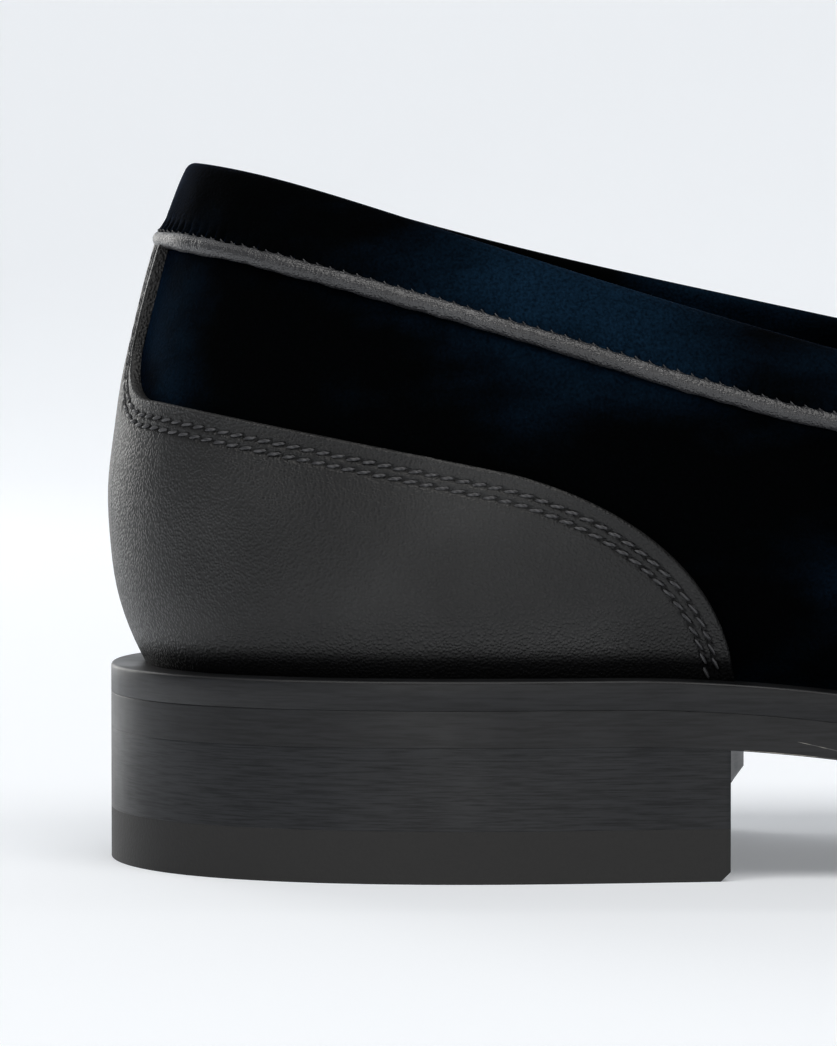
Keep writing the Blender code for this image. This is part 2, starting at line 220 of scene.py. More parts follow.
def vBelowTopline(stations, depths):  # one row of v for each station, depths along the surface
    steps = np.linspace(1, 0.35, 160)
    grid = lastPoint(stations[:, None], steps)
    walked = np.cumsum(np.linalg.norm(np.diff(grid, axis=1), axis=2), axis=1)
    walked = np.concatenate([np.zeros((len(stations), 1)), walked], 1)
    depths = np.atleast_1d(depths)
    depths = np.broadcast_to(depths, (len(stations), depths.shape[-1]))
    return np.array([np.interp(depth, line, steps) for depth, line in zip(depths, walked)])


def planOffset(stations, out):  # the feather line in plan, moved outwards
    step = 1e-3
    here = featherCurve(stations)
    along = featherCurve(stations + step) - featherCurve(stations - step)
    sideways = np.stack([-along[:, 1], along[:, 0]], 1)
    return here[:, :2] + out * sideways / np.hypot(along[:, 0], along[:, 1])[:, None]


def spreadStations(count, heelShare):  # closed run of stations, closer together round the heel
    fine = np.linspace(0, stationCount, 4001)
    line = lastPoint(fine, np.full(len(fine), 0.3))
    away = np.abs(fine - backStation)
    weight = 1 + (heelShare - 1) * (1 - smoothStep((away - 4.5) / 2))
    piece = np.linalg.norm(np.diff(line, axis=0), axis=1) * (weight[1:] + weight[:-1]) / 2
    walked = np.concatenate([[0], np.cumsum(piece)])
    return np.interp(np.linspace(0, walked[-1], count), walked, fine)


def unevenness(points, size, seed):  # a smooth random height of about one at each point
    rng = np.random.RandomState(seed)
    total = np.zeros(points.shape[:-1])
    for direction in unit(rng.normal(size=(9, 3))):
        pace = rng.uniform(0.7, 1.6) * 2 * math.pi / size
        total += np.sin(points @ direction * pace + rng.uniform(0, 2 * math.pi))
    return total / 3


# The model was drawn from the back of the heel, and the frame is centred: this is the move.
edgePlan = planOffset(np.linspace(0, stationCount, 2001), last["weltReach"])
outsoleLow, outsoleHigh = [np.array(corner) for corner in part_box("outsole")]
planMiddle = (edgePlan.min(0) + edgePlan.max(0)) / 2
move = np.append((outsoleLow[:2] + outsoleHigh[:2]) / 2 - planMiddle, 0)


# Small helpers for pieces and for materials


def linear(hexColour):
    parts = [int(hexColour[i : i + 2], 16) / 255 for i in (1, 3, 5)]
    return tuple(((c + 0.055) / 1.055) ** 2.4 if c > 0.04045 else c / 12.92 for c in parts) + (1,)


def wire(tree, node, inputs):  # sets an input's value, or links it to another node's output
    for name, value in inputs.items():
        if isinstance(value, bpy.types.NodeSocket):
            tree.links.new(value, node.inputs[name])
        else:
            node.inputs[name].default_value = value


def addNode(tree, kind, settings, inputs):
    node = tree.nodes.new(kind)
    for name, value in settings.items():
        setattr(node, name, value)
    wire(tree, node, inputs)
    return node


def startMaterial(name):
    material = bpy.data.materials.new(name)
    material.use_nodes = True
    tree = material.node_tree
    return material, tree, tree.nodes["Principled BSDF"]


def finishPiece(name, bm, material, node=None):
    bmesh.ops.recalc_face_normals(bm, faces=bm.faces)
    bmesh.ops.translate(bm, verts=bm.verts, vec=Vector(move))
    mesh = bpy.data.meshes.new(name)
    bm.to_mesh(mesh)
    bm.free()
    mesh.shade_smooth()
    mesh.set_sharp_from_angle(angle=math.radians(50))
    mesh.materials.append(material)
    piece = bpy.data.objects.new(name, mesh)
    bpy.context.scene.collection.objects.link(piece)
    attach(piece, "root")
    if node:
        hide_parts(node)
    print("made", name, len(mesh.polygons), "faces")
    return piece


def curvedSheet(places):  # a grid whose vertices are moved to the given places, with a metre UV
    columns, rows = places.shape[:2]
    bm = bmesh.new()
    uvLayer = bm.loops.layers.uv.new("UVMap")
    bmesh.ops.create_grid(bm, x_segments=columns - 1, y_segments=rows - 1, size=0.5, calc_uvs=True)
    width = np.linalg.norm(np.diff(places, axis=0), axis=2).sum(0).mean()
    height = np.linalg.norm(np.diff(places, axis=1), axis=2).sum(1).mean()
    for vert in bm.verts:
        column = round((vert.co.x + 0.5) * (columns - 1))
        row = round((vert.co.y + 0.5) * (rows - 1))
        vert.co = places[column, row]
    for face in bm.faces:
        for loop in face.loops:
            u, v = loop[uvLayer].uv
            loop[uvLayer].uv = (u * width, v * height)
    bmesh.ops.remove_doubles(bm, verts=bm.verts, dist=1e-6)
    return bm


def closeRing(section):  # repeats the first row at the end, so that the sheet closes on itself
    return np.concatenate([section, section[:, :1]], 1)


def flatSlab(outline, thickness, rim, cutsX, cutsY=(), cutsZ=()):  # a plate with a rounded rim
    bm = bmesh.new()
    face = bm.faces.new([bm.verts.new((x, y, 0)) for x, y in outline])
    made = bmesh.ops.extrude_face_region(bm, geom=[face])["geom"]
    top = [v for v in made if isinstance(v, bmesh.types.BMVert)]
    bmesh.ops.translate(bm, verts=top, vec=(0, 0, thickness))
    bmesh.ops.recalc_face_normals(bm, faces=bm.faces)
    sharp = [e for e in bm.edges if e.calc_face_angle(0) > math.radians(50)]
    bmesh.ops.bevel(
        bm, geom=sharp, offset=rim, segments=3, profile=0.5, affect="EDGES", material=-1
    )
    cuts = [((x, 0, 0), (1, 0, 0)) for x in cutsX] + [((0, y, 0), (0, 1, 0)) for y in cutsY]
    nearRim = rim + 0.12 * mm
    cuts += [((0, 0, z), (0, 0, 1)) for z in (nearRim, thickness - nearRim, *cutsZ)]
    for place, normal in cuts:
        geometry = bm.verts[:] + bm.edges[:] + bm.faces[:]
        bmesh.ops.bisect_plane(bm, geom=geometry, dist=1e-7, plane_co=place, plane_no=normal)
    return bm


# Materials


def objectPlace(tree):
    return addNode(tree, "ShaderNodeTexCoord", {}, {}).outputs["Object"]


def noise(tree, place, scale, detail, roughness=0.5):  # scale counts the cells in a metre
    inputs = {"Vector": place, "Scale": scale, "Detail": detail, "Roughness": roughness}
    return addNode(tree, "ShaderNodeTexNoise", {}, inputs).outputs


def ramp(tree, value, start, end, low=0.0, high=1.0, kind="LINEAR"):
    return addNode(
        tree, "ShaderNodeMapRange", {"interpolation_type": kind},
        {"Value": value, "From Min": start, "From Max": end, "To Min": low, "To Max": high},
    ).outputs[0]


def blend(tree, share, one, other, kind="MIX"):
    return addNode(
        tree, "ShaderNodeMix", {"data_type": "RGBA", "blend_type": kind},
        {0: share, 6: one, 7: other},
    ).outputs[2]


def raised(tree, height, depth, strength):  # a bump of this depth in metres
    inputs = {"Height": height, "Distance": depth, "Strength": strength}
    return addNode(tree, "ShaderNodeBump", {}, inputs).outputs[0]


def cottonVelvet(name, pile):
    # Cotton velvet: a cut pile, woven and dyed midnight blue.  The pile looks nearly black from the
    # front and catches a blue light where it is seen from the side or was brushed flat: here that
    # blue light is painted sheen in the base colour, in noise patches and in one spot on the fold.
    material, tree, shader = startMaterial(name)
    place = objectPlace(tree)
    strokes = addNode(tree, "ShaderNodeMapping", {}, {"Vector": place, "Scale": pile["strokes"]})
    napSheenNoise = noise(tree, strokes.outputs[0], pile["sheenPatchScale"], 4)[0]
    # Painted sheen: noise patches and a spot on the fold (turned) move the base colour from dark to
    # the lit blue.
    away = addNode(
        tree, "ShaderNodeVectorMath", {"operation": "DISTANCE"}, {0: place, 1: pile["sheenSpotAt"]}
    ).outputs["Value"]
    turned = ramp(tree, away, pile["sheenSpotReach"], 0.0, 0.0, pile["sheenSpotBy"], "SMOOTHSTEP")
    sheenSum = addNode(tree, "ShaderNodeMath", {"operation": "ADD"}, {0: napSheenNoise, 1: turned})
    paintedSheenPatches = ramp(tree, sheenSum.outputs[0], 0.46, 0.92, kind="SMOOTHSTEP")
    napWithPaintedSheen = blend(tree, paintedSheenPatches, linear(pile["dark"]), linear(pile["lit"]))
    speckle = noise(tree, place, pile["fibre"], 3)[0]
    grains = ramp(tree, speckle, 0.1, 0.75)
    wire(tree, shader, {
        "Base Color": blend(tree, 1.0, napWithPaintedSheen, grains, "MULTIPLY"), "Roughness": 0.95,
        "Specular IOR Level": 0.02, "Sheen Weight": pile["sheen"], "Sheen Roughness": 0.22,
        "Sheen Tint": linear(pile["sheenTint"]), "Normal": raised(tree, speckle, pile["bump"], 0.6),
    })
    return material


def grainedCalf(name, hide):
    # Calf leather, drum dyed black and embossed with a pebble grain, with a satin finish: small
    # rounded cells with a soft shine on their tops, and dull creases between them.
    material, tree, shader = startMaterial(name)
    place = objectPlace(tree)
    wander = noise(tree, place, 420, 2)["Color"]
    push = addNode(
        tree, "ShaderNodeVectorMath", {"operation": "MULTIPLY_ADD"},
        {0: wander, 1: (0.6 * mm,) * 3, 2: place},
    )
    cells = addNode(
        tree, "ShaderNodeTexVoronoi", {"feature": "SMOOTH_F1"},
        {"Vector": push.outputs[0], "Scale": 1 / hide["cell"], "Smoothness": 0.35,
         "Randomness": 1.0},
    )
    creases = ramp(tree, cells.outputs[0], 0.75, 0.15, kind="SMOOTHSTEP")
    pores = noise(tree, place, 3800, 2)[0]
    height = addNode(
        tree, "ShaderNodeMath", {"operation": "MULTIPLY_ADD"}, {0: pores, 1: 0.35, 2: creases}
    )
    cloudy = noise(tree, place, 42, 2)[0]
    dullest, glossiest = hide["gloss"] - 0.1, hide["gloss"] + 0.1
    polished = ramp(tree, cloudy, 0.3, 0.7, dullest, glossiest, "SMOOTHSTEP")
    dye = blend(tree, cloudy, linear(hide["dark"]), linear(hide["lit"]))
    # Painted shade: where a piece carries this attribute, its colour goes towards near black
    # (#040405) and its shine goes away.
    paintedShade = addNode(tree, "ShaderNodeAttribute", {"attribute_name": "paintedShade"}, {}).outputs["Fac"]
    wire(tree, shader, {
        "Base Color": blend(tree, paintedShade, dye, linear("#040405")),
        "Roughness": ramp(tree, creases, 0.0, 1.0, hide["rough"] + 0.18, hide["rough"]),
        "Specular IOR Level": ramp(tree, paintedShade, 0.0, 0.8, polished, 0.0),
        "Normal": raised(tree, height.outputs[0], hide["bump"], 0.75),
    })
    return material


def burnishedEdge(name, edge):
    # Vegetable-tanned leather, stacked or cut, its edge inked black, waxed and burnished: long
    # fine fibres along the layers, and a soft shine that the fibres break up.
    material, tree, shader = startMaterial(name)
    place = objectPlace(tree)
    layers = addNode(
        tree, "ShaderNodeMapping", {}, {"Vector": place, "Scale": (1, 1, edge["flatness"])}
    )
    fibres = noise(tree, layers.outputs[0], edge["fibre"], 5, 0.65)[0]
    cloudy = noise(tree, place, 90, 3)[0]
    ink = ramp(tree, fibres, 0.40, 0.62)
    wire(tree, shader, {
        "Base Color": blend(tree, ink, linear(edge["dark"]), linear(edge["lit"])),
        "Roughness": ramp(tree, cloudy, 0.3, 0.7, edge["rough"] - 0.07, edge["rough"] + 0.1),
        "Specular IOR Level": ramp(tree, fibres, 0.30, 0.55, edge["waxLow"], 0.40),
        "Normal": raised(tree, fibres, edge["bump"], 0.6),
    })
    return material


def paintedHighlight(name):
    # Painted highlight: pale, dull lines that stand for light caught along sharp edges of the sole.
    material, tree, shader = startMaterial(name)
    highlightNoise = noise(tree, objectPlace(tree), 260, 3)[0]
    highlightShare = ramp(tree, highlightNoise, 0.4, 0.6)
    wire(tree, shader, {
        "Base Color": blend(tree, highlightShare, linear("#4a4a4a"), linear("#b4b0a6")), "Roughness": 0.7,
    })
    return material


def mouldedRubber(name):
    # Vulcanised rubber, pressed in a mould and scoured at the edge: dull, with a fine speckle.
    material, tree, shader = startMaterial(name)
    speckle = noise(tree, objectPlace(tree), 2600, 3)[0]
    wire(tree, shader, {
        "Base Color": blend(tree, speckle, linear("#111111"), linear("#1d1c1b")),
        "Roughness": 0.68, "IOR": 1.52, "Normal": raised(tree, speckle, 0.1 * mm, 0.5),
    })
    return material


def waxedThread(name):
    # Polyester thread, twisted from three plies and waxed: a slight shine, with slanting ridges.
    material, tree, shader = startMaterial(name)
    plies = addNode(
        tree, "ShaderNodeTexWave", {"bands_direction": "DIAGONAL"},
        {"Vector": objectPlace(tree), "Scale": 900, "Distortion": 1.5},
    ).outputs["Fac"]
    wire(tree, shader, {
        "Base Color": blend(tree, plies, linear("#232326"), linear("#474749")),
        "Roughness": 0.42, "Normal": raised(tree, plies, 0.05 * mm, 0.6),
    })
    return material


velvetPile = {  # a pile fibre is 0.02 mm thick, too fine to show: tufts of 0.35 mm are drawn
    # dark is the pile's own colour; lit is the blue of the painted sheen
    "dark": "#010203", "lit": "#11283c", "sheenTint": "#3f74b8", "sheen": 0.10,
    "sheenPatchScale": 52, "fibre": 2800, "strokes": (0.55, 1, 1.2), "bump": 0.28 * mm,
    # the next keys set a painted sheen spot on the fold, below the ankle: its place, its reach and
    # its strength
    "sheenSpotAt": (-0.088, -0.029, 0.068), "sheenSpotReach": 24 * mm,  # on the fold, below the ankle
    "sheenSpotBy": 0.26,
}
calfHide = {
    "dark": "#0e0e0f", "lit": "#191919", "cell": 0.36 * mm, "rough": 0.38, "gloss": 0.52,
    "bump": 0.085 * mm,
}
cordHide = {
    "dark": "#19191b", "lit": "#2f2f32", "cell": 0.30 * mm, "rough": 0.25, "gloss": 0.9,
    "bump": 0.09 * mm,
}
liningHide = {
    "dark": "#0e0e0f", "lit": "#181819", "cell": 0.6 * mm, "rough": 0.48, "gloss": 0.52,
    "bump": 0.05 * mm,
}
soleEdge = {
    "dark": "#0d0e10", "lit": "#17181b", "flatness": 16, "fibre": 190, "rough": 0.42,
    "waxLow": 0.34, "bump": 0.02 * mm,
}
heelEdge = {  # the fibres of the stack show as faint streaks 0.2 mm thick and some 5 mm long
    "dark": "#0c0e11", "lit": "#191b1f", "flatness": 22, "fibre": 210, "rough": 0.42,
    "waxLow": 0.27, "bump": 0.03 * mm,
}
velvet = cottonVelvet("midnight blue cotton velvet", velvetPile)
calf = grainedCalf("black grained calf leather", calfHide)
cordCalf = grainedCalf("black calf, cut on the bias", cordHide)
liningCalf = grainedCalf("black glazed lining leather", liningHide)
soleLeather = burnishedEdge("black burnished sole leather", soleEdge)
stackLeather = burnishedEdge("black stacked heel leather", heelEdge)
edgeHighlight = paintedHighlight("painted highlight on the sole edge")
rubber = mouldedRubber("black heel rubber")
thread = waxedThread("black waxed thread")
print("materials made")


# The upper, its lining, the collar band and the piping

upper = {
    "thickness": 1.3 * mm, "columns": 620, "rows": 70, "backRows": 24, "sink": 0.28 * mm,
    "sag": 0.10 * mm, "sagSize": 34 * mm,
}
# depth below the topline and distance out from the last's surface, in mm, over the upper's top
upperRoll = ((11.1, 0), (10.95, -0.12), (10.6, -0.45), (10.1, -0.85), (9.5, -1.0), (8.9, -1.1))
lining = {"top": 7.6 * mm, "out": -1.4 * mm, "columns": 420, "outerRows": 20, "innerRows": 40}
collar = {
    "depth": 8.5 * mm, "columns": 2200, "edge": 7.2 * mm, "edgeDepth": 1.3 * mm,
    "scallop": 0.34 * mm, "puff": 0.50 * mm, "stitchPitch": 1.65 * mm,
    "gathers": (0.09 * mm, 7 * mm, 5), "folds": (0.10 * mm, 26 * mm, 8),  # height, size, seed
    "heldFrom": 0.3 * mm, "heldTo": 9.3 * mm, "heldEase": 2 * mm,  # gathered between these depths
}
# the same two measures as in upperRoll, round the folded band
collarSection = (
    (8.75, -0.80), (9.0, -0.20), (9.1, 0.45), (9.05, 0.85), (8.85, 1.04), (8.5, 1.02),
    (8.0, 0.97), (7.2, 0.96), (6.3, 0.93), (5.3, 0.84), (4.3, 0.72), (3.3, 0.60), (2.4, 0.46),
    (1.6, 0.27), (0.95, 0.05), (0.5, -0.20), (0.2, -0.50), (0.03, -0.80), (0.0, -1.10),
    (0.03, -1.40), (0.2, -1.72), (0.5, -2.00), (1.0, -2.22), (1.8, -2.38), (3.0, -2.46),
    (4.4, -2.46), (5.8, -2.40), (7.2, -2.34), (8.4, -2.30), (8.9, -2.24), (9.0, -2.0),
    (8.8, -1.6), (8.7, -1.2),
)
collarStitch = {  # small stitches that hold the band's edge: half their size, and their place
    "half": (0.40 * mm, 0.11 * mm, 0.11 * mm), "drop": 0.42 * mm, "out": 1.12 * mm,
    "slant": 0.9, "dip": 0.5,
}
piping = {
    "radius": 1.0 * mm, "stand": 0.9 * mm, "pressed": 0.35 * mm, "sides": 16, "columns": 1100,
    "skin": 0.08 * mm, "wrinkles": ((0.045 * mm, 3.2 * mm, 11), (0.04 * mm, 14 * mm, 12)),
}
shoulderDepth = collar["depth"] + 2 * last["gap"] + 2 * piping["radius"]


def makeUpper():
    stations = spreadStations(upper["columns"], heelShare=1.8)
    wide = stations[:, None]
    depths, outs = np.array(upperRoll).T * mm
    v = vBelowTopline(stations, depths)
    faceV = v[:, :1] * np.linspace(0, 1, upper["rows"])
    face = lastPoint(wide, faceV)
    soft = np.sin(np.linspace(0, math.pi, upper["rows"])) ** 0.5
    bulge = upper["sag"] * soft * unevenness(face, upper["sagSize"], 3)
    face = face + bulge[..., None] * lastNormal(wide, faceV)
    foot = face[:, :1] - np.array((0, 0, upper["sink"]))
    roll = onLast(wide, v[:, 1:], outs[1:])
    backV = v[:, -1:] * np.linspace(1, 0, upper["backRows"])
    back = onLast(wide, backV, -upper["thickness"])
    section = np.concatenate([foot, face, roll, back], 1)
    finishPiece("velvet_upper", curvedSheet(closeRing(section)), velvet, "upper")


def makeLining():
    stations = spreadStations(lining["columns"], heelShare=1.3)
    top = vBelowTopline(stations, lining["top"])
    upwards = top * np.linspace(0, 1, lining["outerRows"])
    back = top * np.linspace(1, 0, lining["innerRows"])
    outer = onLast(stations[:, None], upwards, lining["out"])
    inner = onLast(stations[:, None], back, -last["wall"])
    sheet = curvedSheet(closeRing(np.concatenate([outer, inner], 1)))
    finishPiece("quarter_lining", sheet, liningCalf)


def seamWalk(stations):  # the way along the collar's seam, and the number of its stitches
    seam = vBelowTopline(stations, collar["depth"])[:, 0]
    walked = walkedAlong(lastPoint(stations, seam))
    return walked, round(walked[-1] / collar["stitchPitch"])


def makeCollar():
    stations = spreadStations(collar["columns"], heelShare=2.2)
    depths, outs = np.array(collarSection).T * mm
    walked, count = seamWalk(stations)
    between = np.abs(np.sin(math.pi * count * walked / walked[-1]))[:, None] ** 0.7
    atEdge = smoothStep((depths - collar["edge"]) / collar["edgeDepth"]) * (outs > -1.0 * mm)
    outs = outs + atEdge * collar["puff"] * (between - 0.6)
    depths = depths + atEdge * collar["scallop"] * (between - 0.4)
    v = vBelowTopline(stations, depths)
    places = lastPoint(stations[:, None], v)
    height, size, seed = collar["gathers"]
    pucker = height * unevenness(places * (1, 1, 0.35), size, seed)
    height, size, seed = collar["folds"]
    pucker += height * unevenness(places, size, seed)
    sign = np.where(outs > -1.2 * mm, 1, -0.5)
    held = smoothStep((depths - collar["heldFrom"]) / collar["heldEase"])
    held = held * smoothStep((collar["heldTo"] - depths) / collar["heldEase"])
    out = outs + pucker * sign * held
    places = places + out[..., None] * lastNormal(stations[:, None], v)
    finishPiece("collar_band", curvedSheet(closeRing(places)), velvet, "collar")


def addStitch(bm, place, axes, half, sides, rings):  # a long ball, turned along its three axes
    turn = Matrix(axes).transposed().to_4x4()
    bmesh.ops.create_uvsphere(
        bm, u_segments=sides, v_segments=rings, radius=1,
        matrix=Matrix.Translation(place) @ turn @ Matrix.Diagonal((*half, 1)),
    )


def makeCollarStitches():
    bm = bmesh.new()
    fine = spreadStations(6000, heelShare=1.0)
    v = vBelowTopline(fine, collar["depth"] + collarStitch["drop"])[:, 0]
    walked, count = seamWalk(fine)
    stops = np.arange(count) * walked[-1] / count
    stations, v = np.interp(stops, walked, fine), np.interp(stops, walked, v)
    places = onLast(stations, v, collarStitch["out"])
    for place, out, down in zip(places, lastNormal(stations, v), downwards(stations, v)):
        sideways = collarStitch["slant"] * np.cross(out, down)
        along = unit(down + sideways - collarStitch["dip"] * out)
        across = np.cross(out, along)
        axes = (along, across, np.cross(along, across))
        addStitch(bm, place, axes, collarStitch["half"], sides=6, rings=5)
    finishPiece("collar_stitches", bm, thread)


def makePiping():
    stations = spreadStations(piping["columns"], heelShare=1.3)
    v = vBelowTopline(stations, collar["depth"] + last["gap"] + piping["radius"])[:, 0]
    centre = onLast(stations, v, piping["stand"] - piping["pressed"])
    out, down = lastNormal(stations, v), downwards(stations, v)
    angle = np.linspace(0, 2 * math.pi, piping["sides"] + 1)[None, :, None]
    ring = np.cos(angle) * out[:, None] + np.sin(angle) * down[:, None]
    skin = centre[:, None] + (piping["radius"] + piping["skin"]) * ring
    wrinkles = sum(high * unevenness(skin, size, seed) for high, size, seed in piping["wrinkles"])
    skin = skin + wrinkles[..., None] * ring
    skin[:, -1] = skin[:, 0]
    finishPiece("piping_cord", curvedSheet(skin), cordCalf, "piping")


makeUpper()
makeLining()
makeCollar()
makeCollarStitches()
makePiping()


# The leather counter, with its two rows of stitches

counter = {
    "thickness": 0.9 * mm, "stripWidth": 12.4 * mm, "fillet": 8 * mm,
    # shares of heelLength and of backHeight: the back, the knee, two pulls and the foot
    "edge": ((0.095, 0.530), (0.650, 0.398), (0.806, 0.352), (0.980, 0.232), (1.006, 0.010)),
    "tucked": 0.9 * mm, "crease": 3.7 * mm,  # the leather just above the welt, in the crease, is painted darker as painted shade
    "columnStep": 0.30 * mm, "rimDepth": 5 * mm, "rimRows": 27, "faceRows": 26, "backRows": 10,
    "stripRows": 26, "unevenness": (0.05 * mm, 16 * mm, 21),  # height, size, seed
    "turned": 0.32 * mm, "ridge": 0.13 * mm, "ridgeAt": 0.35 * mm, "ridgeWidth": 0.35 * mm,
}
stitching = {
    "rows": (1.9 * mm, 3.1 * mm), "pitch": 1.8 * mm, "slant": 0.26, "sunk": 0.06 * mm,
    "half": (0.86 * mm, 0.21 * mm, 0.20 * mm), "channel": 0.16 * mm, "channelWidth": 0.34 * mm,
    "hole": 0.34 * mm, "holeDepth": 0.42 * mm,
}
nearColumns = 260  # the columns of a heel side that hold the strip and its fillet


def heelSide(side):  # one side of the heel as a fine grid, for looking things up
    away = np.linspace(0, 4.2, 640)  # stations from the back seam, to just past the counter
    v = np.linspace(0, 0.98, 260)
    stations = backStation + side * away
    return away, v, lastPoint(stations[:, None], v)


def counterEdge(side):  # (station, v) down the strip's side, round the fillet and to the foot
    away, vs, grid = heelSide(side)
    nearAway = away[:nearColumns]
    heights = grid[:, :, 2]

    def levelLine(z):  # v, x and |y| at this height, for every station on this side
        v = np.array([np.interp(z, column, vs) for column in heights])
        x = np.array([np.interp(v[k], vs, grid[k, :, 0]) for k in range(len(v))])
        y = np.abs([np.interp(v[k], vs, grid[k, :, 1]) for k in range(len(v))])
        return v, x, y

    shoulder = vBelowTopline(backStation + side * nearAway, shoulderDepth)[:, 0]
    halfWidths = np.abs(lastPoint(backStation + side * nearAway, shoulder)[:, 1])
    stripAway = np.interp(counter["stripWidth"] / 2, halfWidths, nearAway)
    stripTop = np.interp(stripAway, nearAway, shoulder)
    back, knee, pullA, pullB, foot = [
        np.array((a * last["heelLength"], weltTop(0) + up * last["backHeight"]))
        for a, up in counter["edge"]
    ]
    level = back[1]
    filletTop = np.interp(stripAway, away, levelLine(level + counter["fillet"])[0])
    points = [(stripAway, v) for v in np.linspace(stripTop, filletTop, 40)]
    for angle in np.radians(np.linspace(4, 84, 21)):
        z = level + counter["fillet"] * (1 - math.sin(angle))
        v, x, y = levelLine(z)
        beside = np.interp(stripAway, away, y)
        wanted = beside + counter["fillet"] * (1 - math.cos(angle))
        found = np.interp(wanted, y[:nearColumns], nearAway)
        points.append((found, np.interp(found, away, v)))
    clear = points[-1][0] + 0.08  # stations: the fillet runs on into the plain edge
    plain = [back + (knee - back) * (k / 60) ** 1.6 for k in range(60)]
    for t in np.linspace(0, 1, 60):
        s = 1 - t
        plain.append(s**3 * knee + 3 * s * s * t * pullA + 3 * s * t * t * pullB + t**3 * foot)
    for x, z in plain:
        v, xs, y = levelLine(z)
        found = np.interp(x, xs, away)
        if found > clear:
            points.append((found, np.interp(found, away, v)))
    points = np.array(points)
    return np.stack([backStation + side * points[:, 0], points[:, 1]], 1)


def evenly(line, step):  # resamples a (station, v) line at even steps along the surface
    walked = walkedAlong(lastPoint(line[:, 0], line[:, 1]))
    stops = np.linspace(0, walked[-1], max(2, round(walked[-1] / step) + 1))
    return np.stack([np.interp(stops, walked, line[:, 0]), np.interp(stops, walked, line[:, 1])], 1)


def smoothed(line, reach):  # evens out small kinks, and keeps both ends
    kernel = np.hanning(2 * reach + 3)[1:-1]
    padded = np.pad(line, ((reach, reach), (0, 0)), mode="reflect", reflect_type="odd")
    return np.stack([np.convolve(padded[:, k], kernel / kernel.sum(), "valid") for k in (0, 1)], 1)


def inwards(line, distance):  # moves a (station, v) line away from the edge, over the surface
    line = line.copy()
    places = lastPoint(line[:, 0], line[:, 1])
    along = unit(np.gradient(places, axis=0))
    across = np.cross(lastNormal(line[:, 0], line[:, 1]), along)
    toFoot = lastPoint(line[:, 0], line[:, 1] - 0.02) - places
    toBack = lastPoint(backStation + 0 * line[:, 0], line[:, 1]) - places
    inner = toFoot + 0.3 * toBack
    across *= np.sign((across * inner).sum(1))[:, None]
    moves, step = 5, 1e-3
    for _ in range(moves):
        here = lastPoint(line[:, 0], line[:, 1])
        byStation = (lastPoint(line[:, 0] + step, line[:, 1]) - here) / step
        byV = (lastPoint(line[:, 0], line[:, 1] + step) - here) / step
        basis = np.stack([byStation, byV], 2)
        line += np.einsum("kij,kj->ki", np.linalg.pinv(basis), across * distance / moves)
    return line


counterEdges = {side: smoothed(evenly(counterEdge(side), 0.15 * mm), 9) for side in (-1, 1)}


def hump(away, width):  # one in the middle, and falling off smoothly on both sides
    return np.exp(-((away / width) ** 2))


def leatherFace(distance):  # the counter's thickness at a distance from its turned edge
    turned = np.clip(distance / counter["turned"], 0, 1)
    height = counter["thickness"] * (0.45 + 0.55 * np.sqrt(1 - (1 - turned) ** 2))
    height += counter["ridge"] * hump(distance - counter["ridgeAt"], counter["ridgeWidth"])
    for row in stitching["rows"]:
        height -= stitching["channel"] * hump(distance - row, stitching["channelWidth"])
    return height


def stitchLines():  # points half a pitch apart, for each row: a hole and a stitch by turns
    lines = []
    for side in (-1, 1):
        for row in stitching["rows"]:
            fine = evenly(smoothed(inwards(counterEdges[side], row), 12), stitching["pitch"] / 2)
            places = onLast(fine[:, 0], fine[:, 1], last["gap"])
            above = places[:, 2] > weltTop(places[:, 0]) + 0.9 * mm
            lines.append((fine[above], places[above]))
    return lines


def treeOf(points):
    tree = kdtree.KDTree(len(points))
    for index, point in enumerate(points):
        tree.insert(point, index)
    tree.balance()
    return tree


def distances(tree, places):
    found = [tree.find(place)[2] for place in places.reshape(-1, 3)]
    return np.array(found).reshape(places.shape[:-1])


